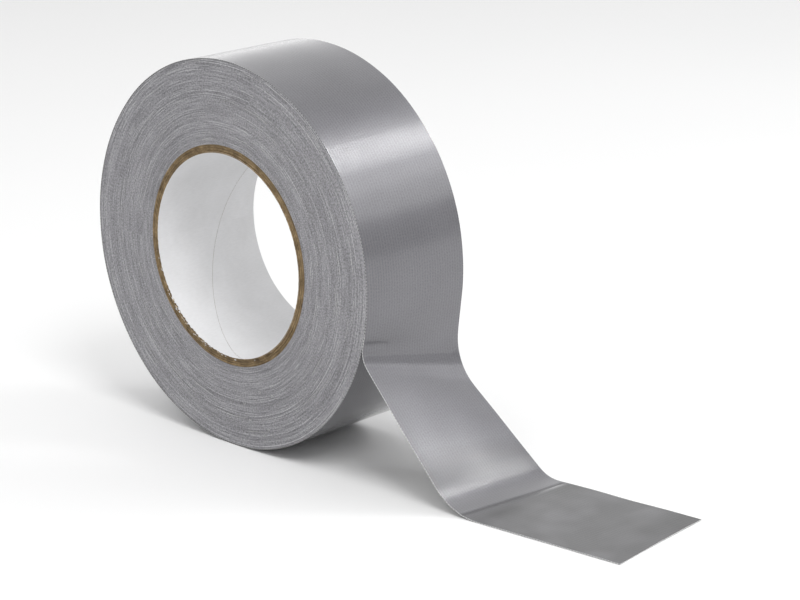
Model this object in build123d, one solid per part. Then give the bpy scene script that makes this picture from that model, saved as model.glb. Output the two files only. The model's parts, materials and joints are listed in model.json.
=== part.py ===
from build123d import *
from math import atan2, cos, degrees, radians, sin
import os

# A roll of cloth-backed duct tape standing on its rim, with its free end peeled off and laid
# out on the floor. Millimetres. The origin is the centre of the core's bore, +Y runs along the
# roll's axis, +Z is up, and the free end leaves the roll on the +X side.

# Core: a tube of spiral-wound paper plies, glued face to face.
bore_radius = 38.1
liner_thickness = 0.3
ply_count = 6
ply_thickness = 0.45
core_radius = bore_radius + liner_thickness + ply_count * ply_thickness

# Tape.
tape_width = 48.0
tape_thickness = 0.22
roll_radius = 72.2

# Free end. Distances run along the tape from the line where it leaves the roll, and a skew is
# the angle between a bend line and a square line across the tape.
leave_angle = -8.5
peel_start = 13.3
peel_bend_radius = 11.95
peel_bend_angle = 50.1
peel_skew = 6.4
knee_bend_radius = 30.5
tail_length = 143.8
plate_gap = 0.24

peel_hinges = 3
slope_hinges = 3
knee_hinges = 4
foot_hinges = 4


class Hinge:
    """One line across the tape where it bends: where it crosses the middle, its skew and bend."""

    def __init__(self, name, distance, skew, bend):
        self.name = name
        self.distance = distance
        self.skew = skew
        self.bend = bend

    def axis(self):
        """The hinge line in the flat tape: X along the tape, Y across it, Z out of its face."""
        direction = (sin(radians(self.skew)), cos(radians(self.skew)), 0)
        return Axis((self.distance, 0, 0), direction)

    def distance_at(self, across):
        """Where the line is at a given distance across the tape."""
        lean = sin(radians(self.skew)) / cos(radians(self.skew))
        return self.distance + across * lean


def tube(inner_radius, outer_radius):
    ring = Plane.XZ * (Circle(outer_radius) - Circle(inner_radius))
    return extrude(ring, amount=tape_width / 2, both=True)


def wound_turns():
    """The tape still on the core. Its outside is a spiral that steps in by one thickness where
    the free end leaves: two half circles about centres a quarter thickness either side."""
    step = tape_thickness
    upper = CenterArc((step / 4, 0), roll_radius - step / 4, 0, 180)
    lower = CenterArc((-step / 4, 0), roll_radius - 3 * step / 4, 180, 180)
    edge = Line(lower @ 1, upper @ 0)
    outline = make_face(Curve() + [upper, lower, edge]) - Circle(core_radius)
    turned = Rot(0, 0, leave_angle) * outline
    return extrude(Plane.XZ * turned, amount=tape_width / 2, both=True)


def bend_hinges(name, count, start, radius, angle, skew):
    """A round bend as evenly spaced hinges."""
    length = radius * radians(angle)
    pitch = length / count
    return [
        Hinge(f"tail_{name}_{number + 1}", start + pitch * (number + 0.5), skew, angle / count)
        for number in range(count)
    ]


def straight_hinges(name, count, start, end):
    """Hinges in a straight stretch, evenly spaced between its two ends and not on them."""
    pitch = (end - start) / (count + 1)
    return [
        Hinge(f"tail_{name}_{number + 1}", start + pitch * (number + 1), 0, 0)
        for number in range(count)
    ]


def folded(shape, hinges):
    """Carry a shape drawn on the flat tape through every bend before it, last bend first."""
    for hinge in reversed(hinges):
        shape = shape.rotate(hinge.axis(), -hinge.bend)
    return leaving_plane.location * shape


def direction_after(hinges, direction):
    return folded(Vertex(*direction), hinges).center() - folded(Vertex(0, 0, 0), hinges).center()


def knee_at(start):
    return bend_hinges("knee", knee_hinges, start, knee_bend_radius, knee_angle, knee_skew)


def foot_height(knee_start):
    hinges = peel + knee_at(knee_start)
    return folded(Vertex(tail_length, 0, -tape_thickness / 2), hinges).center().Z


# The middle of the tape's thickness leaves the roll in this plane.
middle_radius = roll_radius - tape_thickness / 2
leaving_plane = Plane(
    origin=(middle_radius * cos(radians(leave_angle)), 0, middle_radius * sin(radians(leave_angle))),
    x_dir=(sin(radians(leave_angle)), 0, -cos(radians(leave_angle))),
    z_dir=(cos(radians(leave_angle)), 0, sin(radians(leave_angle))),
)
floor_height = -(roll_radius - 3 * tape_thickness / 4) - tape_thickness / 4 * sin(radians(leave_angle))

# The knee's line is the level line of the sloping stretch, so the foot comes out flat. A trial
# length of slope gives the foot's height there, and the rest of the way down gives the real one.
trial_slope = 40.0
peel = bend_hinges("peel", peel_hinges, peel_start, peel_bend_radius, peel_bend_angle, peel_skew)
slope_along = direction_after(peel, (1, 0, 0))
slope_across = direction_after(peel, (0, 1, 0))
slope_normal = direction_after(peel, (0, 0, 1))
level = slope_normal.cross(Vector(0, 0, 1)) * -1
if level.dot(slope_across) < 0:
    level = level * -1
knee_skew = degrees(atan2(level.dot(slope_along), level.dot(slope_across)))
knee_angle = degrees(atan2(level.length, slope_normal.Z))
trial_start = peel_start + trial_slope
spare_height = foot_height(trial_start) - floor_height
knee_start = trial_start - spare_height / slope_along.Z

knee = knee_at(knee_start)
slope = straight_hinges("slope", slope_hinges, peel[-1].distance, knee[0].distance)
foot = straight_hinges("foot", foot_hinges, knee[-1].distance, tail_length)
leaving_line = Hinge("tail_lead", 0, 0, 0)
tail_lines = [leaving_line] + peel + slope + knee + foot


def tail_plate(index):
    """The flat piece of tape between one line and the next, half a gap short of each hinge. The
    first piece starts face to face with the end of the wound turns."""
    line = tail_lines[index]
    half = tape_width / 2
    start_gap = 0 if line is leaving_line else plate_gap / 2
    start = [(line.distance_at(side) + start_gap, side) for side in (-half, half)]
    if index + 1 < len(tail_lines):
        following = tail_lines[index + 1]
        end = [(following.distance_at(side) - plate_gap / 2, side) for side in (half, -half)]
    else:
        end = [(tail_length, half), (tail_length, -half)]
    plate = extrude(make_face(Polyline(*start, *end, close=True)), amount=tape_thickness / 2, both=True)
    return folded(plate, tail_lines[: index + 1])


def build_parts():
    parts = {"core_liner": tube(bore_radius, bore_radius + liner_thickness)}
    for number in range(ply_count):
        inner = bore_radius + liner_thickness + number * ply_thickness
        parts[f"core_ply_{number + 1}"] = tube(inner, inner + ply_thickness)
    parts["wound_tape"] = wound_turns()
    for index, line in enumerate(tail_lines):
        parts[line.name] = tail_plate(index)
    return parts


os.makedirs("parts", exist_ok=True)
for node, solid in build_parts().items():
    export_step(solid, f"parts/{node}.step")
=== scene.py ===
"""The looks of the duct tape roll: its wound body, cardboard core and peeled-off free end."""

import json
import math
import random

import bmesh
import bpy
import numpy as np
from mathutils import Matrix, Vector


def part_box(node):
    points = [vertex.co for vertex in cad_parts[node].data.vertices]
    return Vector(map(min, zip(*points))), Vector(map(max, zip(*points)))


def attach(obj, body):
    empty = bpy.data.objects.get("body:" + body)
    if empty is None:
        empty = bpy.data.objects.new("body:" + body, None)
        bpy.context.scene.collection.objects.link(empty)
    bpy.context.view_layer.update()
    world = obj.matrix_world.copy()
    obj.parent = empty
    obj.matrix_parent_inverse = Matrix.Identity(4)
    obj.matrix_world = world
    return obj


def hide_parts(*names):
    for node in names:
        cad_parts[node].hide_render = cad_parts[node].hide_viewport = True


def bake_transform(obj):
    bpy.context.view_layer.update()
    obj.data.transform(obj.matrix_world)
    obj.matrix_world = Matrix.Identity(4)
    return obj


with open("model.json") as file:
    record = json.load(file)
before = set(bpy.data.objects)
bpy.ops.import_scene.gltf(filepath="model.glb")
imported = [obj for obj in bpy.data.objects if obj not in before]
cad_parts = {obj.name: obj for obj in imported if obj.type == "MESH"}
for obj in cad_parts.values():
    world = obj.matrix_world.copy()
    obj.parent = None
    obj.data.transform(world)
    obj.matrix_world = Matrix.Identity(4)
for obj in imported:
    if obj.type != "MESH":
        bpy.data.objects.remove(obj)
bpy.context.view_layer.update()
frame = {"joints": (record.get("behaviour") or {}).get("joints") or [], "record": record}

MM = 0.001
FULL_TURN = 2 * math.pi

# ---- sizes, in metres and radians -------------------------------------------------------------

tape_thickness = 0.22 * MM
half_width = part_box("wound_tape")[1].y
core_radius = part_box("core_ply_6")[1].z
liner_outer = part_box("core_liner")[1].z
core_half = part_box("core_liner")[1].y
bore_radius = next(m["dims"]["r_mm"] for m in frame["record"]["mounts"] if m["name"] == "core_bore") * MM
ply_nodes = [f"core_ply_{n}" for n in range(1, 7)]
ply_width = (core_radius - liner_outer) / len(ply_nodes)
wound_turns = 140

leave_angle = math.radians(-8.5)
leave_heading = leave_angle - math.pi / 2
leave_radial = Vector((math.cos(leave_angle), 0, math.sin(leave_angle)))
leave_tangent = Vector((math.cos(leave_heading), 0, math.sin(leave_heading)))

hinges = frame["joints"]
hinge_places = [Vector(hinge["pos_m"]) for hinge in hinges]
hinge_axes = [Vector(hinge["axis"]).normalized() for hinge in hinges]
hinge_distances = [hinge_places[0].dot(leave_tangent)]
for before, after in zip(hinge_places, hinge_places[1:]):
    hinge_distances.append(hinge_distances[-1] + (after - before).length)

middle_radius = hinge_places[0].dot(leave_radial)
roll_radius = middle_radius + tape_thickness / 2
foot_middle = hinge_places[-1].z
tail_length = 143.8 * MM
last_turn = FULL_TURN * middle_radius

# The side view of the free end at its two long edges. Every fibre between them is a mix of the two.
near_edge = {
    "cling": 9.2 * MM,
    "peel_start": 0.9 * MM,
    "peel_radius": 7.4 * MM,
    "slope_heading": math.radians(-49.5),
    "knee_radius": 23.5 * MM,
}
far_edge = {
    "cling": 0.0,
    "peel_start": 15.7 * MM,
    "peel_radius": 19.9 * MM,
    "slope_heading": math.radians(-38.7),
    "knee_radius": 11.3 * MM,
}

# How far the free end wanders sideways for each metre along, past the first line and past the knee.
drift_start = 12 * MM
slope_drift = 0.023
foot_drift = 0.046

# The gap that the last turn keeps from the turns under it, and the free end from the floor.
off_turns = 0.08 * MM
off_floor = 0.10 * MM


# ---- mesh helpers -----------------------------------------------------------------------------


def make_mesh(name, points, faces, flat=None, sharp=35, kinds=None):
    """A smooth-shaded mesh. flat is each point's (along, across), kinds is each face's material."""
    mesh = bpy.data.meshes.new(name)
    mesh.from_pydata(np.asarray(points).reshape(-1, 3).tolist(), [], faces)
    mesh.validate()
    shape = bmesh.new()
    shape.from_mesh(mesh)
    bmesh.ops.recalc_face_normals(shape, faces=shape.faces)
    shape.to_mesh(mesh)
    shape.free()
    mesh.shade_smooth()
    mesh.set_sharp_from_angle(angle=math.radians(sharp))
    if flat is not None:
        corner_points = np.zeros(len(mesh.loops), int)
        mesh.loops.foreach_get("vertex_index", corner_points)
        layer = mesh.uv_layers.new(name="flat")
        layer.data.foreach_set("uv", np.asarray(flat).reshape(-1, 2)[corner_points].ravel())
    if kinds is not None:
        mesh.polygons.foreach_set("material_index", kinds)
    piece = bpy.data.objects.new(name, mesh)
    bpy.context.scene.collection.objects.link(piece)
    return piece


def grid_faces(rows, columns, first=0, flip=False):
    """The quads of a grid of points numbered row by row."""
    faces = []
    for row in range(rows - 1):
        for column in range(columns - 1):
            a = first + row * columns + column
            quad = (a, a + 1, a + columns + 1, a + columns)
            faces.append(quad[::-1] if flip else quad)
    return faces


def closed_strip(name, top, bottom, flat, kinds=(0, 1, 2)):
    """A thin closed strip between two grids of points, with walls along its four edges."""
    rows, columns = top.shape[:2]
    count = rows * columns
    top_faces = grid_faces(rows, columns)
    bottom_faces = grid_faces(rows, columns, count, flip=True)
    rim = list(range(columns))
    rim += [row * columns + columns - 1 for row in range(1, rows)]
    rim += [(rows - 1) * columns + column for column in range(columns - 2, -1, -1)]
    rim += [row * columns for row in range(rows - 2, 0, -1)]
    walls = [(b, a, a + count, b + count) for a, b in zip(rim, rim[1:] + rim[:1])]
    points = np.concatenate([top.reshape(-1, 3), bottom.reshape(-1, 3)])
    both = np.concatenate([flat.reshape(-1, 2), flat.reshape(-1, 2)])
    faces = top_faces + bottom_faces + walls
    numbers = [kinds[0]] * len(top_faces) + [kinds[1]] * len(bottom_faces) + [kinds[2]] * len(walls)
    return make_mesh(name, points, faces, both, kinds=numbers)


def wander(count, every, amount, seed, loop=False):
    """A smooth random line of count values: a random value at every few steps, eased between."""
    rng = np.random.RandomState(seed)
    knots = max(2, int(math.ceil(count / every)) + 1)
    values = rng.uniform(-amount, amount, knots)
    if loop:
        values[-1] = values[0]
    place = np.linspace(0, knots - 1, count)
    low = np.minimum(place.astype(int), knots - 2)
    share = place - low
    ease = share * share * (3 - 2 * share)
    return values[low] * (1 - ease) + values[low + 1] * ease


# ---- the tape's surface -----------------------------------------------------------------------


def on_roll(distance):
    """x and z of the last turn's middle surface, at a distance past the line where the tape leaves."""
    angle = leave_angle - distance / middle_radius
    radius = middle_radius + tape_thickness * distance / last_turn
    return radius * np.cos(angle), radius * np.sin(angle)


def off_roll(distance, share):
    """x and z of the free end's middle surface: flat, peel bend, slope, knee bend, flat on the floor."""
    mix = {name: near_edge[name] + (far_edge[name] - near_edge[name]) * share for name in near_edge}
    start_x, start_z = on_roll(mix["cling"])
    start_heading = leave_heading - mix["cling"] / middle_radius
    slope_heading = mix["slope_heading"]
    peel_arc = mix["peel_radius"] * (slope_heading - start_heading)
    knee_arc = -mix["knee_radius"] * slope_heading
    slope_top = start_z + mix["peel_start"] * np.sin(start_heading)
    slope_top = slope_top + mix["peel_radius"] * (np.cos(start_heading) - np.cos(slope_heading))
    knee_top = foot_middle + mix["knee_radius"] * (1 - np.cos(slope_heading))
    slope_run = (knee_top - slope_top) / np.sin(slope_heading)
    rest = distance - mix["cling"]
    lead = np.minimum(rest, mix["peel_start"])
    rest = rest - mix["peel_start"]
    peel = np.clip(rest, 0, peel_arc)
    rest = rest - peel_arc
    slope = np.clip(rest, 0, slope_run)
    rest = rest - slope_run
    knee = np.clip(rest, 0, knee_arc)
    foot = np.maximum(rest - knee_arc, 0)
    peel_heading = start_heading + peel / mix["peel_radius"]
    knee_heading = slope_heading + knee / mix["knee_radius"]
    x = start_x + lead * np.cos(start_heading) + slope * np.cos(slope_heading) + foot
    x = x + mix["peel_radius"] * (np.sin(peel_heading) - np.sin(start_heading))
    x = x + mix["knee_radius"] * (np.sin(knee_heading) - np.sin(slope_heading))
    z = start_z + lead * np.sin(start_heading) + slope * np.sin(slope_heading)
    z = z + mix["peel_radius"] * (np.cos(start_heading) - np.cos(peel_heading))
    z = z + mix["knee_radius"] * (np.cos(slope_heading) - np.cos(knee_heading))
    knee_start = mix["cling"] + mix["peel_start"] + peel_arc + slope_run
    stuck_x, stuck_z = on_roll(distance)
    stuck = distance < mix["cling"]
    return np.where(stuck, stuck_x, x), np.where(stuck, stuck_z, z), knee_start


def middle_surface(distance, across):
    """Points of the tape's middle surface. across runs from -1 at the near edge to 1 at the far edge."""
    share = (across + 1) / 2

    # An average over a few millimetres along the tape softens where each bend starts and ends.
    soften = np.array([-3.2, -1.6, 0, 1.6, 3.2]) * MM
    weights = np.array([1, 3, 4, 3, 1]) / 12
    x = np.zeros_like(distance)
    z = np.zeros_like(distance)
    y = across * half_width
    for shift, weight in zip(soften, weights):
        place = distance + shift * np.clip(distance / (8 * MM), 0, 1)
        place_x, place_z, knee_start = off_roll(place, share)
        x = x + weight * place_x
        z = z + weight * place_z
        y = y + weight * slope_drift * np.maximum(place - drift_start, 0)
        y = y + weight * foot_drift * np.maximum(place - knee_start, 0)
    return np.stack([x, y, z], -1)


# Creases pressed into the free end: where each starts and ends, as distance and across, and how
# deep and how wide it is.
creases = (
    ((78.6 * MM, -0.95), (83.6 * MM, 0.12), 0.34 * MM, 1.0 * MM),
    ((83.6 * MM, 0.12), (86.6 * MM, 0.90), 0.26 * MM, 1.0 * MM),
    ((8.9 * MM, -0.95), (11.4 * MM, -0.50), 0.12 * MM, 1.2 * MM),
    ((13.0 * MM, -0.93), (19.4 * MM, 0.20), 0.16 * MM, 1.0 * MM),
    ((19.4 * MM, 0.20), (22.6 * MM, 0.85), 0.12 * MM, 1.0 * MM),
)


def pressed(distance, across):
    """How deep the creases are at these places."""
    depth = np.zeros_like(distance)
    for (start, start_side), (end, end_side), deep, wide in creases:
        share = (across - start_side) / (end_side - start_side)
        line = start + (end - start) * share
        inside = np.clip(1.15 - np.abs(share - 0.5) * 2, 0, 0.15) / 0.15
        depth = np.maximum(depth, deep * inside * np.exp(-(((distance - line) / wide) ** 2)))
    return depth


def swell(distance, across):
    """How far the film stands off its smooth surface: long soft waves and the pressed creases."""
    along = distance / MM
    side = across * half_width / MM
    waves = 0.030 * np.sin(along / 7.3 + 0.9 * np.sin(side / 17 + 0.4))
    waves = waves + 0.022 * np.sin(along / 4.1 + side / 21 + 1.1)
    waves = waves + 0.030 * np.sin(side / 9.5 + 0.8 * np.sin(along / 26))
    waves = waves + 0.012 * np.sin(side / 3.1 + along / 15 + 2.0 * np.sin(along / 40))
    loose = np.clip((along - 60) / 25, 0, 1)
    waves = waves + 0.05 * loose * np.sin(along / 5.6 + side / 6.5 + 0.6 * np.sin(side / 4.7))
    return waves * MM - pressed(distance, across)


def sides(distance, across):
    """The film side and the adhesive side of the tape at these places."""
    step = 0.05 * MM
    middle = middle_surface(distance, across)
    ahead = middle_surface(distance + step, across) - middle_surface(distance - step, across)
    wide = middle_surface(distance, across + 0.01) - middle_surface(distance, across - 0.01)
    normal = np.cross(ahead, wide)
    normal = normal / np.linalg.norm(normal, axis=-1, keepdims=True)
    lift = swell(distance, across)[..., None] + off_turns
    middle = middle + normal * lift
    half = normal * tape_thickness / 2
    return middle + half, middle - half


def strip_between(name, start, end, rows, across):
    """A closed length of tape between two lines, each a distance for every place across the width."""
    share = np.linspace(0, 1, rows)[:, None]
    distance = start[None, :] * (1 - share) + end[None, :] * share
    wide = np.broadcast_to(across[None, :], distance.shape)
    film, adhesive = sides(distance, wide)
    flat = np.stack([distance + last_turn, (wide + 1) * half_width], -1)
    return closed_strip(name, film, adhesive, flat)


# ---- the free end and the last turn -------------------------------------------------------------

across_places = np.linspace(-1, 1, 61)
bend_step = 0.3 * MM
straight_step = 0.7 * MM


def place_before(number):
    """The middle of the hinge line before this one, or of the line where the tape leaves the roll."""
    if number == 0:
        return hinge_places[0] - leave_tangent * hinge_distances[0]
    return hinge_places[number - 1]


def dividing_planes():
    """A point and a direction for each plane that divides the tape, one across every flat plate."""
    planes = []
    for number, place in enumerate(hinge_places):
        before = place_before(number)
        axis = (hinge_axes[max(number - 1, 0)] + hinge_axes[number]) / 2
        along = place - before
        along = along - axis * along.dot(axis) / axis.length_squared
        planes.append(((place + before) / 2, along.normalized()))
    return planes


def line_on_plane(point, direction, guess):
    """Where each lengthwise fibre crosses a dividing plane, as a distance along the tape."""
    window = np.linspace(max(guess - 9 * MM, 0), guess + 9 * MM, 361)
    distance, wide = np.meshgrid(window, across_places, indexing="ij")
    past = (middle_surface(distance, wide) - np.array(point)) @ np.array(direction)
    return np.array([np.interp(0, past[:, column], window) for column in range(len(across_places))])


def build_tape():
    """The last turn with its short lead, then one piece of the free end across each hinge."""
    planes = dividing_planes()
    guesses = [hinge_distances[0] / 2]
    guesses += [(a + b) / 2 for a, b in zip(hinge_distances, hinge_distances[1:])]
    lines = [line_on_plane(point, along, guess) for (point, along), guess in zip(planes, guesses)]
    lines.append(np.full(len(across_places), tail_length))
    begin = np.full(len(across_places), -last_turn)
    leave = np.zeros(len(across_places))
    outer_rows = 421
    lead_rows = 13
    share = np.linspace(0, 1, outer_rows)[:, None]
    on_distance = begin[None, :] * (1 - share) + leave[None, :] * share
    share = np.linspace(0, 1, lead_rows)[1:, None]
    lead_distance = leave[None, :] * (1 - share) + lines[0][None, :] * share
    distance = np.concatenate([on_distance, lead_distance])
    wide = np.broadcast_to(across_places[None, :], distance.shape)
    film, adhesive = sides(distance, wide)
    flat = np.stack([distance + last_turn, (wide + 1) * half_width], -1)
    outer_turn = closed_strip("outer_turn", film, adhesive, flat)
    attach(outer_turn, "roll")
    pieces = []
    for number, hinge in enumerate(hinges):
        length = float(np.mean(lines[number + 1] - lines[number]))
        bends = "peel" in hinge["name"] or "knee" in hinge["name"]
        step = bend_step if bends else straight_step
        rows = max(9, int(length / step) + 1)
        name = hinge["child"] + "_tape"
        piece = strip_between(name, lines[number], lines[number + 1], rows, across_places)
        bend_at_hinge(piece, number)
        pieces.append((piece, length))
    return outer_turn, pieces


def bend_at_hinge(piece, number):
    """Bakes the piece's placement into its points; the hinge's axis and the direction along the tape are
    worked out but not used.
    """
    axis = hinge_axes[number]
    place = hinge_places[number]
    before = place - place_before(number)
    last = number == len(hinges) - 1
    after = before if last else hinge_places[number + 1] - place
    along = before.normalized() + after.normalized()
    along = (along - axis * along.dot(axis)).normalized()
    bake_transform(piece)


# ---- the wound body -----------------------------------------------------------------------------


def band(first, second, count, flip=False):
    """The quads between two runs of numbered points."""
    quads = [(first + k, first + k + 1, second + k + 1, second + k) for k in range(count)]
    return [quad[::-1] for quad in quads] if flip else quads


def build_wound_body():
    """The turns under the last one, as one closed spiral with every turn's edge in its two sides."""
    steps = 192
    total = wound_turns * steps
    index = np.arange(total + 1)
    turn = index / steps
    angle = leave_angle - turn * FULL_TURN
    pitch = (roll_radius - tape_thickness - core_radius) / wound_turns
    outside = core_radius + pitch * turn
    inside = np.maximum(core_radius, outside - pitch)
    groove = inside + (outside - inside) * 0.25
    ridge = inside + (outside - inside) * 0.72
    points = []
    faces = []
    starts = {}
    for side, seed in ((-1, 3), (1, 11)):
        slow = wander(total + 1, steps * 7.3, 0.07 * MM, seed)
        each = wander(total + 1, steps * 0.83, 0.045 * MM, seed + 1)
        fine = wander(total + 1, 9, 0.022 * MM, seed + 2)
        edge = half_width + slow + each + fine
        recess = 0.055 * MM + np.abs(wander(total + 1, 5, 0.05 * MM, seed + 3))
        first = sum(len(block) for block in points)
        rim = np.arange(steps + 1)
        outer_rim = np.arange(total - steps, total + 1)
        blocks = [
            (core_radius + 0 * rim, angle[rim], half_width - 0.1 * MM + 0 * rim),
            (groove, angle, edge - recess),
            (ridge, angle, edge),
            (outside[outer_rim], angle[outer_rim], edge[outer_rim] - 0.03 * MM),
        ]
        names = ["core", "groove", "ridge", "rim"]
        for name, (radius, turned, out) in zip(names, blocks):
            starts[side, name] = first
            block = np.stack([radius * np.cos(turned), side * out, radius * np.sin(turned)], -1)
            points.append(block)
            first += len(block)

        # The core's edge to the first groove, every groove to its ridge, every ridge to the next
        # turn's groove, and the last ridge to the rim.
        flip = side > 0
        core_run, groove_run, ridge_run, rim_run = [starts[side, name] for name in names]
        last_ridge = ridge_run + total - steps
        faces += band(core_run, groove_run, steps, flip)
        faces += band(groove_run, ridge_run, total, flip)
        faces += band(ridge_run, groove_run + steps, total - steps, flip)
        faces += band(last_ridge, rim_run, steps, flip)
        sliver = (last_ridge, rim_run, groove_run + total)
        faces.append(sliver[::-1] if flip else sliver)
    faces += band(starts[-1, "core"], starts[1, "core"], steps)
    faces += band(starts[-1, "rim"], starts[1, "rim"], steps, flip=True)

    # The small step at the end of the spiral, across the width.
    step_corners = (("rim", 0), ("groove", total), ("ridge", total), ("rim", steps))
    near, far = [[starts[side, name] + along for name, along in step_corners] for side in (-1, 1)]
    for k in range(3):
        faces.append((near[k], near[k + 1], far[k + 1], far[k]))
    body = make_mesh("wound_turns", np.concatenate(points), faces, sharp=60)
    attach(body, "roll")
    return body


# ---- the core -----------------------------------------------------------------------------------


def build_ply(node, number):
    """One kraft ply: a ring with soft, uneven edges, so that a fine line shows between plies."""
    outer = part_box(node)[1].z
    inner = outer - ply_width
    half = core_half + (0.10 * MM if number % 2 else -0.03 * MM)
    steps = 360
    angles = np.linspace(0, FULL_TURN, steps, endpoint=False)
    shares = [0.02, 0.16, 0.5, 0.84, 0.98]
    drops = [0.34, 0.06, 0.0, 0.07, 0.36]
    rings = []
    for side in (-1, 1):
        line = []
        for place, (share, drop) in enumerate(zip(shares, drops)):
            seed = 100 * number + 10 * place + side
            rough = wander(steps, 4, 0.07 * MM, seed, loop=True)
            rough = rough + wander(steps, 17, 0.07 * MM, seed + 5, loop=True)
            out = half - drop * MM + rough
            line.append(np.stack([(inner + ply_width * share) + 0 * angles, side * out, angles], -1))
        rings += line if side < 0 else line[::-1]
    rings = np.array(rings)
    count = len(rings)
    radius, out, turned = rings[..., 0], rings[..., 1], rings[..., 2]
    points = np.stack([radius * np.cos(turned), out, radius * np.sin(turned)], -1)
    faces = []
    for ring in range(count):
        following = (ring + 1) % count
        for k in range(steps):
            beside = (k + 1) % steps
            first, second = ring * steps, following * steps
            faces.append((first + k, first + beside, second + beside, second + k))
    ply = make_mesh(f"kraft_ply_{number}", points, faces, sharp=70)
    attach(ply, "roll")
    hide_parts(node)
    return ply


seam_angle = math.radians(180)
seam_height = 6.5 * MM
seam_lead = -0.306 * MM / math.radians(1)
seam_gap = 0.18 * MM


def torn(angle):
    """How torn the liner's near edge is, from 0 to 1: worst at the lower left of the bore."""
    return np.exp(-(((angle - math.radians(238)) / math.radians(30)) ** 2))


def build_liner():
    """The paper liner: one strip wound as a helix, whose edges meet in a butt seam across the bore."""
    rows = 61
    columns = 481
    heights = np.linspace(-1, 1, rows)
    points = []
    flats = []
    for height in heights:
        y = height * core_half
        first = seam_angle + (y - seam_height) / seam_lead + seam_gap / bore_radius / 2
        turned = first + np.linspace(0, FULL_TURN - seam_gap / bore_radius, columns)
        wrapped = np.mod(turned, FULL_TURN)
        nearness = np.clip((-height - 0.9) / 0.1, 0, 1)
        ragged = 0.35 * np.sin(wrapped * 61) * np.sin(wrapped * 23 + 1)
        ragged = ragged + 0.30 * np.sin(wrapped * 137 + 2)
        pull = nearness * (0.12 * ragged * MM + torn(wrapped) * (0.45 + 0.55 * ragged) * MM)
        ridge = np.exp(-np.minimum(turned - first, first + FULL_TURN - turned) / 0.02)
        inner = bore_radius - 0.06 * MM * ridge + 0.02 * MM * np.sin(wrapped * 9 + y / MM / 5)
        outer = liner_outer - 0.02 * MM + 0 * inner
        edge = y + pull
        around = np.cos(turned), np.sin(turned)
        points.append([np.stack([r * around[0], edge, r * around[1]], -1) for r in (inner, outer)])
        flats.append(np.stack([turned * bore_radius, edge], -1))
    inside = np.array([pair[0] for pair in points])
    outside = np.array([pair[1] for pair in points])
    liner = closed_strip("paper_liner", inside, outside, np.array(flats), kinds=(0, 0, 1))
    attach(liner, "roll")
    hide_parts("core_liner")
    return liner


# ---- loose threads and torn paper -----------------------------------------------------------------

threads_a_side = 70
knots_a_side = 9
flake_count = 64


def tube(points, radius, around=6):
    """Points and faces of a thin closed tube along a line."""
    line = np.asarray(points)
    ahead = np.gradient(line, axis=0)
    ahead = ahead / np.linalg.norm(ahead, axis=1, keepdims=True)
    helper = np.array([0.31, 0.87, 0.38])
    side = np.cross(ahead, helper)
    side = side / np.linalg.norm(side, axis=1, keepdims=True)
    other = np.cross(ahead, side)
    turns = np.linspace(0, FULL_TURN, around, endpoint=False)
    rings = line[:, None] + radius * (side[:, None] * np.cos(turns)[None, :, None])
    rings = rings + radius * (other[:, None] * np.sin(turns)[None, :, None])
    faces = []
    for row in range(len(line) - 1):
        for k in range(around):
            a = row * around
            beside = (k + 1) % around
            faces.append((a + k, a + beside, a + around + beside, a + around + k))
    faces.append(tuple(range(around))[::-1])
    faces.append(tuple(len(line) * around - around + k for k in range(around)))
    return rings.reshape(-1, 3), faces


def gather(name, shapes, **settings):
    """Joins several sets of points and faces into one mesh object."""
    points = []
    faces = []
    first = 0
    for shape_points, shape_faces in shapes:
        points.append(shape_points)
        faces += [tuple(first + corner for corner in face) for face in shape_faces]
        first += len(shape_points)
    return make_mesh(name, np.concatenate(points), faces, **settings)


def edge_threads(side, seed):
    """Cloth threads pulled out along the cut edges of the turns, some flat and some curling away."""
    rng = random.Random(seed)
    shapes = []
    for number in range(threads_a_side):
        radius = rng.uniform(core_radius + 1 * MM, roll_radius - 0.6 * MM)
        begin = rng.uniform(0, FULL_TURN)
        length = rng.uniform(2, 13) * MM
        curl = rng.random() < 0.2
        count = 26
        line = []
        for k in range(count):
            share = k / (count - 1)
            angle = begin + share * length / radius
            wave = 0.10 * MM * math.sin(share * rng.choice((5, 6, 7)) + number)
            away = 0.05 * MM
            if curl:
                away += 0.5 * MM * share**3
                wave += 0.4 * MM * share**2 * math.sin(5 * share + number)
            point = radius + wave
            line.append((point * math.cos(angle), side * (half_width + away), point * math.sin(angle)))
        shapes.append(tube(smooth(line), rng.uniform(0.035, 0.06) * MM))
    for _ in range(knots_a_side):
        shapes.append(knot(rng, side))
    threads = gather("edge_threads_near" if side < 0 else "edge_threads_far", shapes, sharp=80)
    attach(threads, "roll")
    return threads


def smooth(line):
    """The line with its small jumps averaged out."""
    points = np.array(line)
    for _ in range(3):
        points[1:-1] = (points[:-2] + 2 * points[1:-1] + points[2:]) / 4
    return points


def knot(rng, side):
    """A short thread end, curled into a loose loop on the side face."""
    radius = rng.uniform(core_radius + 8 * MM, roll_radius - 2 * MM)
    angle = math.radians(rng.uniform(268, 325))
    out = side * (half_width + 0.12 * MM)
    centre = Vector((radius * math.cos(angle), out, radius * math.sin(angle)))
    size = rng.uniform(0.35, 0.75) * MM
    phase = rng.uniform(0, FULL_TURN)
    line = []
    for k in range(30):
        share = k / 29
        turned = phase + share * 7.5
        reach = size * (0.5 + 0.8 * share)
        lift = side * 0.25 * MM * math.sin(3.1 * share)
        line.append(centre + Vector((reach * math.cos(turned), lift, 0.7 * reach * math.sin(turned))))
    return tube(smooth([tuple(point) for point in line]), 0.055 * MM)


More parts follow.
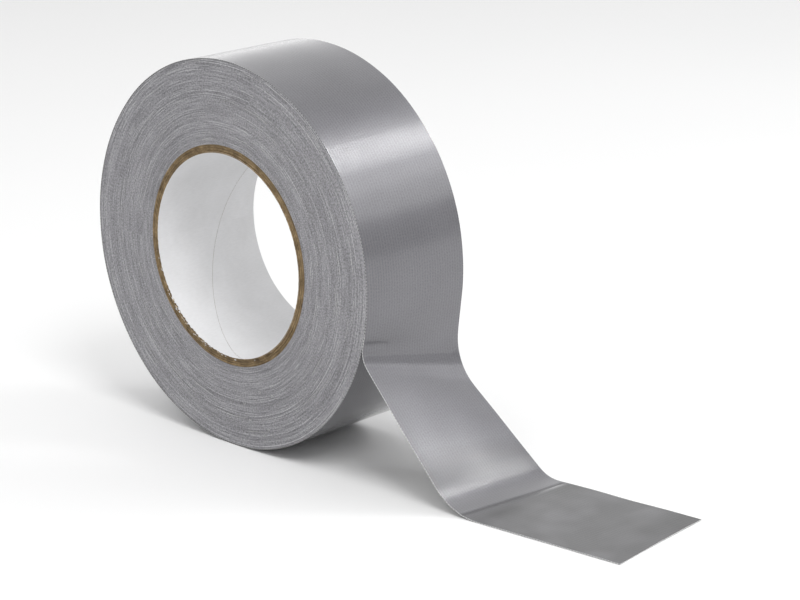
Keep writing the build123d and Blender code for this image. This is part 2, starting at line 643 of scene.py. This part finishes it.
def torn_paper():
    """Small torn flakes of paper and board along the near rim of the bore."""
    rng = random.Random(29)
    shapes = []
    kinds = []
    for _ in range(flake_count):
        angle = math.radians(rng.gauss(236, 26))
        radius = rng.uniform(bore_radius - 0.15 * MM, liner_outer + 0.5 * MM)
        size = rng.uniform(0.25, 1.0) * MM
        out = -core_half - rng.uniform(-0.05, 0.2) * MM
        centre = Vector((radius * math.cos(angle), out, radius * math.sin(angle)))
        tangent = Vector((-math.sin(angle), 0, math.cos(angle)))
        outward = Vector((math.cos(angle), 0, math.sin(angle)))
        tilt = Vector((0, -1, 0)) * rng.uniform(0.2, 0.9) - outward * rng.uniform(-0.2, 0.9)
        tilt = tilt.normalized()
        corners = 7
        thin = tangent.cross(tilt).normalized() * 0.05 * MM
        ring = []
        for k in range(corners):
            turned = FULL_TURN * k / corners
            reach = size * rng.uniform(0.45, 1.0) / 2
            corner = tangent * reach * 1.6 * math.cos(turned) + tilt * reach * math.sin(turned)
            ring.append(centre + corner)
        points = [point + thin for point in ring] + [point - thin for point in ring]
        faces = [tuple(range(corners)), tuple(range(2 * corners - 1, corners - 1, -1))]
        for k in range(corners):
            beside = (k + 1) % corners
            faces.append((beside, k, k + corners, beside + corners))
        shapes.append((np.array(points), faces))
        kinds += [1 if rng.random() < 0.35 else 0] * len(faces)
    flakes = gather("torn_paper", shapes, sharp=20, kinds=kinds)
    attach(flakes, "roll")
    return flakes


# ---- materials ------------------------------------------------------------------------------------


class Paint:
    """A short way to write a node material."""

    def __init__(self, name):
        self.material = bpy.data.materials.new(name)
        self.material.use_nodes = True
        self.nodes = self.material.node_tree.nodes
        self.links = self.material.node_tree.links
        self.shader = self.nodes["Principled BSDF"]

    def set(self, **values):
        for name, value in values.items():
            self.shader.inputs[name.replace("_", " ")].default_value = value

    def plug(self, socket, value):
        if isinstance(value, bpy.types.NodeSocket):
            self.links.new(value, socket)
        else:
            socket.default_value = value

    def math(self, operation, *values):
        node = self.nodes.new("ShaderNodeMath")
        node.operation = operation
        for socket, value in zip(node.inputs, values):
            self.plug(socket, value)
        return node.outputs[0]

    def wave(self, along, pitch, sharpness=2.0):
        """0 to 1 and back once in every pitch, narrow at the top."""
        turned = self.math("MULTIPLY", along, FULL_TURN / pitch)
        raised = self.math("MULTIPLY_ADD", self.math("COSINE", turned), 0.5, 0.5)
        return self.math("POWER", raised, sharpness)

    def flat(self):
        """The distance along the tape and the place across it."""
        node = self.nodes.new("ShaderNodeUVMap")
        node.uv_map = "flat"
        split = self.nodes.new("ShaderNodeSeparateXYZ")
        self.links.new(node.outputs[0], split.inputs[0])
        return split.outputs[0], split.outputs[1]

    def place(self):
        """x, y and z of the point on the object."""
        node = self.nodes.new("ShaderNodeTexCoord")
        split = self.nodes.new("ShaderNodeSeparateXYZ")
        self.links.new(node.outputs["Object"], split.inputs[0])
        return split.outputs

    def combine(self, x, y, z=0.0):
        node = self.nodes.new("ShaderNodeCombineXYZ")
        for socket, value in zip(node.inputs, (x, y, z)):
            self.plug(socket, value)
        return node.outputs[0]

    def noise(self, vector, scale, detail=2.0, roughness=0.5):
        node = self.nodes.new("ShaderNodeTexNoise")
        self.links.new(vector, node.inputs["Vector"])
        node.inputs["Scale"].default_value = scale
        node.inputs["Detail"].default_value = detail
        node.inputs["Roughness"].default_value = roughness
        return node.outputs[0]

    def ramp(self, value, stops):
        node = self.nodes.new("ShaderNodeValToRGB")
        elements = node.color_ramp.elements
        while len(elements) < len(stops):
            elements.new(0.5)
        for element, (position, colour) in zip(elements, stops):
            element.position = position
            element.color = (*colour, 1) if hasattr(colour, "__len__") else (colour, colour, colour, 1)
        self.plug(node.inputs[0], value)
        return node.outputs[0]

    def mix(self, share, a, b):
        node = self.nodes.new("ShaderNodeMix")
        node.data_type = "RGBA"
        self.plug(node.inputs["Factor"], share)
        for socket, value in zip((node.inputs[6], node.inputs[7]), (a, b)):
            self.plug(socket, value if isinstance(value, bpy.types.NodeSocket) else (*value, 1))
        return node.outputs[2]

    def bump(self, height, distance, strength=1.0):
        node = self.nodes.new("ShaderNodeBump")
        node.inputs["Distance"].default_value = distance
        node.inputs["Strength"].default_value = strength
        self.links.new(height, node.inputs["Height"])
        self.links.new(node.outputs[0], self.shader.inputs["Normal"])
        self.links.new(node.outputs[0], self.shader.inputs["Coat Normal"])

    def polar(self):
        """The distance from the roll's axis and the angle round it."""
        x, y, z = self.place()
        squares = self.math("ADD", self.math("MULTIPLY", x, x), self.math("MULTIPLY", z, z))
        return self.math("SQRT", squares), self.math("ARCTAN2", z, x), y


warp_pitch = 1.27 * MM
fill_pitch = 1.15 * MM
fill_share = 0.70
knee_crease = 82.8 * MM
knee_crease_skew = 4.3 * MM
knee_light_and_shade_reach = 28 * MM
edge_highlight_start = 13 * MM


def woven_height(paint, along, side):
    """The cloth's threads telegraphing through the film, from 0 to 1."""
    vector = paint.combine(along, side)
    shake = paint.math("MULTIPLY_ADD", paint.noise(vector, 260, 2), 0.5 * MM, -0.25 * MM)
    warp = paint.wave(paint.math("ADD", side, shake), warp_pitch, 1.6)
    thread = paint.combine(paint.math("MULTIPLY", along, 110), paint.math("MULTIPLY", side, 900))
    apart = paint.math("MULTIPLY_ADD", paint.noise(thread, 1.0, 2), 3.6 * MM, -1.8 * MM)
    fill = paint.wave(paint.math("ADD", along, apart), fill_pitch, 1.6)
    return paint.math("MAXIMUM", warp, paint.math("MULTIPLY", fill, fill_share))


def painted_knee_light_and_shade(paint, colour, along, from_middle, vector):
    """The film's colour with painted light and shade at the knee: painted shade before the knee, painted
    light just above its crease, and painted shade in the crease and on the foot past it.
    """
    crease = paint.math("MULTIPLY_ADD", from_middle, knee_crease_skew, last_turn + knee_crease)
    beyond = paint.math("SUBTRACT", along, crease)
    before = paint.math("DIVIDE", paint.math("ADD", beyond, knee_light_and_shade_reach), knee_light_and_shade_reach)
    # Painted shade before the knee crease, darkening the film where the key light's highlight falls on the
    # slope.
    shade = paint.ramp(before, [(0.0, 0.0), (0.34, 0.50), (0.56, 0.50), (0.70, 0.0)])
    colour = paint.mix(shade, colour, (0.045, 0.045, 0.048))
    # Painted light: a lighter band of film just above the knee crease.
    painted_crease_light = paint.ramp(before, [(0.62, 0.0), (0.80, 0.42), (0.96, 0.42), (1.0, 0.0)])
    colour = paint.mix(painted_crease_light, colour, (0.300, 0.297, 0.310))
    # Painted shade, in uneven patches, darkening the foot past the knee crease.
    patch = paint.ramp(paint.noise(vector, 62, 1), [(0.36, 0.45), (0.60, 1.0)])
    painted_foot_shade = paint.ramp(paint.math("DIVIDE", beyond, 6 * MM), [(0.0, 0.0), (1.0, 0.85)])
    colour = paint.mix(paint.math("MULTIPLY", painted_foot_shade, patch), colour, (0.045, 0.045, 0.048))
    # Painted shade on the far half of the foot, darkest just past the crease and near its end.
    foot_share = paint.math("DIVIDE", beyond, tail_length - knee_crease)
    far_foot_shade_stops = [(0.0, 0.0), (0.05, 0.9), (0.28, 0.2), (0.62, 0.0), (0.84, 0.9), (1.0, 0.8)]
    far_half = paint.math("MULTIPLY_ADD", from_middle, 0.5, 0.5)
    painted_far_foot_shade = paint.math("MULTIPLY", paint.ramp(foot_share, far_foot_shade_stops), far_half)
    colour = paint.mix(painted_far_foot_shade, colour, (0.012, 0.012, 0.013))
    # Painted shade: a dark line along the knee crease.
    from_crease = paint.math("DIVIDE", paint.math("ABSOLUTE", beyond), 1.3 * MM)
    line = paint.ramp(from_crease, [(0.2, 0.6), (1.0, 0.0)])
    return paint.mix(line, colour, (0.04, 0.04, 0.042))


def painted_edge_highlight(paint, colour, along, from_middle, grain):
    """The film's colour with a thin painted highlight along both edges of the free end."""
    to_edge = paint.math("SUBTRACT", 1.0, paint.math("ABSOLUTE", from_middle))
    to_edge = paint.math("MULTIPLY", to_edge, half_width)
    to_edge = paint.math("MULTIPLY_ADD", grain, 0.30 * MM, to_edge)
    # Painted highlight: a pale line within about a millimetre of each edge, from 13 mm past where the tape
    # leaves the roll.
    edge = paint.ramp(paint.math("DIVIDE", to_edge, 1.0 * MM), [(0.20, 0.50), (0.40, 0.0)])
    edge = paint.math("MULTIPLY", edge, paint.math("GREATER_THAN", along, last_turn + edge_highlight_start))
    return paint.mix(edge, colour, (0.50, 0.50, 0.51))


def film_material():
    """Silver-grey film over cloth: thread ribs, speckle, painted light and shade on the free end and a
    painted highlight along its edges.
    """
    paint = Paint("tape_film")
    along, side = paint.flat()
    vector = paint.combine(along, side)
    cloth = woven_height(paint, along, side)
    grain = paint.noise(vector, 1500, 3, 0.75)
    soft = paint.noise(paint.combine(along, paint.math("MULTIPLY", side, 0.6)), 38, 3)
    height = paint.math("MULTIPLY_ADD", grain, 0.8, cloth)
    height = paint.math("MULTIPLY_ADD", soft, 0.8, height)
    paint.bump(height, 0.019 * MM)
    tone = paint.math("MULTIPLY_ADD", grain, 0.58, paint.math("MULTIPLY", soft, 0.28))
    tone = paint.math("MULTIPLY_ADD", cloth, 0.14, tone)
    colour = paint.ramp(tone, [(0.33, (0.126, 0.125, 0.136)), (0.67, (0.208, 0.205, 0.222))])
    from_middle = paint.math("DIVIDE", paint.math("SUBTRACT", side, half_width), half_width)
    colour = painted_knee_light_and_shade(paint, colour, along, from_middle, vector)
    colour = painted_edge_highlight(paint, colour, along, from_middle, grain)
    paint.links.new(colour, paint.shader.inputs["Base Color"])
    paint.links.new(paint.math("MULTIPLY_ADD", grain, 0.10, 0.40), paint.shader.inputs["Roughness"])
    paint.set(Metallic=0.85, IOR=1.5, Coat_Weight=1.0, Coat_Roughness=0.08, Coat_IOR=1.5)
    return paint.material


def adhesive_material():
    paint = Paint("tape_adhesive")
    along, side = paint.flat()
    cloth = woven_height(paint, along, side)
    vector = paint.combine(along, side)
    lumps = paint.noise(vector, 900, 3)
    paint.bump(paint.math("MULTIPLY_ADD", lumps, 0.6, cloth), 0.05 * MM)
    tone = paint.math("MULTIPLY_ADD", lumps, 0.5, paint.math("MULTIPLY", cloth, 0.4))
    colour = paint.ramp(tone, [(0.2, (0.14, 0.14, 0.14)), (0.75, (0.26, 0.26, 0.25))])
    paint.links.new(colour, paint.shader.inputs["Base Color"])
    paint.set(Roughness=0.55)
    return paint.material


def cut_edge_material(name, pitch, dark, light):
    """The cut edge of the cloth and film: dark and light dots, one for each thread that was cut."""
    paint = Paint(name)
    along, side = paint.flat()
    speck = paint.noise(paint.combine(along, side), 2600, 2)
    dots = paint.wave(along, pitch, 1.0)
    tone = paint.math("MULTIPLY_ADD", dots, 0.4, paint.math("MULTIPLY", speck, 0.6))
    colour = paint.ramp(tone, [(0.30, dark), (0.66, light)])
    paint.links.new(colour, paint.shader.inputs["Base Color"])
    paint.set(Roughness=0.6)
    return paint.material


def wound_edge_material():
    """Fine rings of film and cloth edges, with thin light lines where a cut thread lies along a turn."""
    paint = Paint("wound_edge")
    radius, angle, _ = paint.polar()
    around = paint.combine(paint.math("COSINE", angle), paint.math("SINE", angle))
    drift = paint.math("MULTIPLY_ADD", paint.noise(around, 1.6, 2), 1.6 * MM, radius)
    lines = paint.noise(paint.combine(paint.math("MULTIPLY", drift, 2300), 3.0), 1.0, 2, 0.7)
    lines = paint.ramp(lines, [(0.51, 0.0), (0.61, 1.0)])
    broken = paint.combine(paint.math("MULTIPLY", radius, 420), paint.math("MULTIPLY", angle, 3.4), 5.0)
    broken = paint.ramp(paint.noise(broken, 1.0, 3, 0.65), [(0.38, 0.0), (0.56, 1.0)])
    ring = paint.math("MULTIPLY", radius, 1700)
    speck = paint.noise(paint.combine(ring, paint.math("MULTIPLY", angle, 85)), 1.0, 3, 0.8)
    streak = paint.noise(paint.combine(ring, paint.math("MULTIPLY", angle, 7)), 1.0, 2, 0.6)
    wide = paint.noise(paint.combine(paint.math("MULTIPLY", radius, 260), angle), 1.0, 3)
    tone = paint.math("MULTIPLY_ADD", streak, 0.22, paint.math("MULTIPLY", speck, 0.70))
    tone = paint.math("MULTIPLY_ADD", wide, 0.16, tone)
    base = paint.ramp(tone, [(0.43, (0.125, 0.123, 0.131)), (0.65, (0.360, 0.355, 0.375))])
    dotted = paint.ramp(speck, [(0.36, 0.22), (0.62, 0.85)])
    share = paint.math("MULTIPLY", paint.math("MULTIPLY", lines, broken), dotted)
    colour = paint.mix(share, base, (0.60, 0.60, 0.61))
    paint.links.new(colour, paint.shader.inputs["Base Color"])
    paint.bump(paint.math("ADD", speck, streak), 0.03 * MM)
    paint.set(Roughness=0.55)
    return paint.material


def board_material(name, dark, middle, light):
    """Kraft board: fibres drawn out round the core, with a dark glue line between plies."""
    paint = Paint(name)
    radius, angle, depth = paint.polar()
    across = paint.math("MULTIPLY", radius, 2600)
    fibre = paint.combine(across, paint.math("MULTIPLY", angle, 40), paint.math("MULTIPLY", depth, 900))
    fibre = paint.noise(fibre, 1.0, 4, 0.65)
    patch = paint.combine(paint.math("MULTIPLY", radius, 300), paint.math("MULTIPLY", angle, 9))
    patch = paint.noise(patch, 1.0, 3)
    tone = paint.math("MULTIPLY_ADD", patch, 0.5, paint.math("MULTIPLY", fibre, 0.5))
    colour = paint.ramp(tone, [(0.32, dark), (0.5, middle), (0.68, light)])
    shake = paint.math("MULTIPLY_ADD", patch, 0.16 * MM, -0.08 * MM)
    from_liner = paint.math("ADD", paint.math("SUBTRACT", radius, liner_outer), shake)
    glue = paint.wave(from_liner, ply_width, 6.0)
    colour = paint.mix(paint.math("MULTIPLY", glue, 0.75), colour, (0.03, 0.02, 0.012))
    paint.links.new(colour, paint.shader.inputs["Base Color"])
    paint.bump(fibre, 0.08 * MM)
    paint.set(Roughness=0.85)
    return paint.material


def liner_material():
    paint = Paint("liner_paper")
    _, angle, depth = paint.polar()
    fibre = paint.combine(paint.math("MULTIPLY", angle, 60), paint.math("MULTIPLY", depth, 420))
    fibre = paint.noise(fibre, 1.0, 4, 0.6)
    cloud = paint.combine(paint.math("MULTIPLY", angle, 3), paint.math("MULTIPLY", depth, 90))
    cloud = paint.noise(cloud, 1.0, 2)
    tone = paint.math("MULTIPLY_ADD", cloud, 0.5, paint.math("MULTIPLY", fibre, 0.5))
    colour = paint.ramp(tone, [(0.3, (0.60, 0.60, 0.605)), (0.7, (0.68, 0.68, 0.69))])
    paint.links.new(colour, paint.shader.inputs["Base Color"])
    paint.bump(fibre, 0.04 * MM)
    paint.set(Roughness=0.8)
    return paint.material


def thread_material():
    paint = Paint("cloth_thread")
    x, y, z = paint.place()
    speck = paint.noise(paint.combine(x, y, z), 4000, 2)
    colour = paint.ramp(speck, [(0.3, (0.42, 0.42, 0.42)), (0.7, (0.68, 0.68, 0.67))])
    paint.links.new(colour, paint.shader.inputs["Base Color"])
    paint.set(Roughness=0.8)
    return paint.material


def floor_material():
    paint = Paint("studio_floor")
    x, y, z = paint.place()
    soft = paint.noise(paint.combine(x, y, z), 2.0, 2)
    colour = paint.ramp(soft, [(0.3, 0.84), (0.7, 0.86)])
    paint.links.new(colour, paint.shader.inputs["Base Color"])
    paint.set(Roughness=0.9)
    return paint.material


# ---- stage, light and camera ------------------------------------------------------------------------


def build_floor(height):
    reach = 6.0
    corners = ((-reach, -reach), (reach, -reach), (reach, reach), (-reach, reach))
    floor = make_mesh("floor", [(x, y, height) for x, y in corners], [(0, 1, 2, 3)])
    floor.data.materials.append(floor_material())


def softbox(name, place, target, size, power):
    """A soft area light that faces the target."""
    light = bpy.data.lights.new(name, "AREA")
    light.shape = "RECTANGLE"
    light.size, light.size_y = size
    light.energy = power
    lamp = bpy.data.objects.new(name, light)
    lamp.location = place
    lamp.rotation_euler = (Vector(target) - Vector(place)).to_track_quat("-Z", "Y").to_euler()
    bpy.context.scene.collection.objects.link(lamp)


def build_key(place, target):
    """The key light: four strips one above the other, brighter to the top, each further to the side."""
    # How far each strip is to the right, how wide it is, and its power.
    strips = ((-0.0745, 0.14, 0.18), (-0.0255, 0.14, 0.25), (0.0235, 0.14, 0.37), (0.099, 0.088, 0.29))
    high = 0.19 / len(strips)
    away = (place - target).normalized()
    right = Vector((0, 0, 1)).cross(away).normalized()
    rise = away.cross(right)
    for number, (sideways, wide, power) in enumerate(strips):
        shift = right * sideways + rise * high * (number - (len(strips) - 1) / 2)
        softbox(f"key_softbox_{number + 1}", place + shift, target + shift, (wide, high), power)


def add_glow(tree, direction, toward, narrow, change, strength):
    """The world's strength with a soft round glow added to it, or taken from it, in one direction."""
    facing = tree.nodes.new("ShaderNodeVectorMath")
    facing.operation = "DOT_PRODUCT"
    facing.inputs[1].default_value = toward
    tree.links.new(direction, facing.inputs[0])
    last = facing.outputs["Value"]
    steps = (("MAXIMUM", 0.0), ("POWER", narrow), ("MULTIPLY", change), ("ADD", strength))
    for operation, amount in steps:
        step = tree.nodes.new("ShaderNodeMath")
        step.operation = operation
        tree.links.new(last, step.inputs[0])
        if isinstance(amount, float):
            step.inputs[1].default_value = amount
        else:
            tree.links.new(amount, step.inputs[1])
        last = step.outputs[0]
    return last


def build_world():
    """A pale even world, brighter behind and above the roll and darker to the camera's right."""
    world = bpy.data.worlds.new("studio")
    world.use_nodes = True
    tree = world.node_tree
    direction = tree.nodes.new("ShaderNodeTexCoord").outputs["Generated"]

    # Where each glow is, how narrow it is, and how much it adds to the even light.
    glows = (
        ((-0.74, 0.66, 0.05), 22.0, 0.66),
        ((-0.435, 0.67, 0.602), 20.0, 0.16),
        ((0.76, 0.65, 0.0), 6.0, -0.30),
    )
    strength = 0.80
    for toward, narrow, change in glows:
        strength = add_glow(tree, direction, toward, narrow, change, strength)
    background = tree.nodes["Background"]
    tree.links.new(strength, background.inputs["Strength"])
    background.inputs["Color"].default_value = (1, 1, 1, 1)
    bpy.context.scene.world = world


def build_lamps():
    build_key(Vector((0.570, 0.894, 0.835)), Vector((0.057, 0, 0.044)))
    softbox("halo_softbox", (0.677, 0.870, 0.860), (0.144, -0.05, 0.044), (0.7, 0.55), 1.95)
    softbox("low_softbox", (0.880, 0.900, 0.500), (0.066, 0, 0.028), (0.6, 0.36), 1.0)
    softbox("side_softbox", (0.87, -0.34, 1.04), (0, 0, 0), (0.5, 0.5), 8.0)
    softbox("top_softbox", (-0.30, -0.60, 1.5), (0, 0, 0), (1.0, 1.0), 3.5)


def build_camera():
    data = bpy.data.cameras.new("camera")
    data.sensor_width = 36
    data.lens = 105.2
    camera = bpy.data.objects.new("camera", data)
    place = Vector((0.6168, -0.5582, 0.2255))
    aim = Vector((0.0368, 0.0276, -0.0210))
    lean = math.radians(-1.27)
    camera.location = place
    camera.rotation_euler = (aim - place).to_track_quat("-Z", "Y").to_euler()
    camera.rotation_euler.rotate_axis("Z", lean)
    bpy.context.scene.collection.objects.link(camera)
    bpy.context.scene.camera = camera


# ---- the whole scene ----------------------------------------------------------------------------------


def dress(piece, *materials):
    for material in materials:
        piece.data.materials.append(material)


film = film_material()
adhesive = adhesive_material()
cut_edge = cut_edge_material("tape_cut_edge", fill_pitch, 0.32, 0.66)
# The roll's rim: the same cut edge with its ground painted near black as shade in the gap beside the last
# turn; the light dots are the cut threads.
rim_painted_shade = cut_edge_material("roll_rim_painted_shade", fill_pitch, 0.03, 0.40)
wound_edge = wound_edge_material()
kraft = board_material("kraft_board", (0.09, 0.060, 0.030), (0.215, 0.148, 0.074), (0.38, 0.275, 0.145))
torn_board = board_material("torn_board", (0.30, 0.22, 0.14), (0.48, 0.38, 0.26), (0.66, 0.58, 0.46))
paper = liner_material()
thread = thread_material()

outer_turn, tail_pieces = build_tape()
dress(outer_turn, film, adhesive, rim_painted_shade)
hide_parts("tail_lead")
for number, (piece, _) in enumerate(tail_pieces):
    dress(piece, film, adhesive, cut_edge)
    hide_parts(hinges[number]["child"])

wound_body = build_wound_body()
dress(wound_body, wound_edge)
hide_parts("wound_tape")

for number, node in enumerate(ply_nodes, 1):
    dress(build_ply(node, number), kraft)
dress(build_liner(), paper, kraft)
dress(edge_threads(-1, 5), thread)
dress(edge_threads(1, 6), thread)
dress(torn_paper(), torn_board, paper)

build_floor(foot_middle - tape_thickness / 2 - off_floor)
build_world()
build_lamps()
build_camera()
bpy.context.scene.view_settings.view_transform = "Standard"
